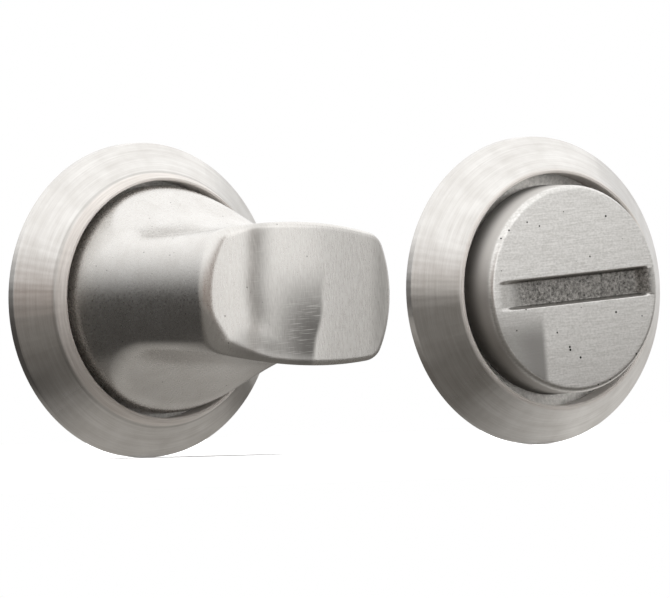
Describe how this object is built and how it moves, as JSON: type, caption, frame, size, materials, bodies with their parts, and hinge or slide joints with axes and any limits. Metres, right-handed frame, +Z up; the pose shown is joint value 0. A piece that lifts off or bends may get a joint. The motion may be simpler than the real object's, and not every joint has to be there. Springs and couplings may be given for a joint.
{
  "type": "bathroom thumb turn lock",
  "caption": "Bathroom door lock set with a waisted round thumb turn and a slotted coin release, each turning in a conical satin steel rose that screws to the door.",
  "frame": {"origin": "centre of the thumb turn half's back face, on the door's surface", "axes": "+Z up, +Y into the door, -Y out into the room along both turning axes, +X from the thumb turn half towards the coin release half"},
  "size_m": [0.132, 0.0752, 0.052],
  "materials": {
    "satin_stainless": "satin, brushed",
    "cast_stainless": "rough, as cast",
    "acetal": "smooth, turned",
    "spring_steel": "oiled, dark",
    "plated_steel": "zinc plated"
  },
  "bodies": {
    "door_roses": {"turn_rose": "satin_stainless", "release_rose": "satin_stainless", "turn_base_plate": "cast_stainless", "release_base_plate": "cast_stainless", "turn_bearing_bush": "acetal", "release_bearing_bush": "acetal", "turn_snap_ring": "spring_steel", "release_snap_ring": "spring_steel", "turn_disc_spring": "spring_steel", "release_disc_spring": "spring_steel", "turn_flat_washer": "plated_steel", "release_flat_washer": "plated_steel"},
    "turn": {"thumb_turn": "satin_stainless", "spindle": "plated_steel", "spindle_grub_screw": "plated_steel", "turn_retaining_ring": "spring_steel"},
    "release": {"release_disc": "satin_stainless", "release_retaining_ring": "spring_steel"}
  },
  "joints": [
    {"name": "thumb_turn_hinge", "type": "hinge", "parent": "door_roses", "child": "turn", "pos_m": [0, 0, 0], "axis": [0, 1, 0], "range_deg": [0, 90]},
    {"name": "coin_release_hinge", "type": "hinge", "parent": "door_roses", "child": "release", "pos_m": [0.08, 0, 0], "axis": [0, -1, 0], "range_deg": [0, 90]}
  ]
}
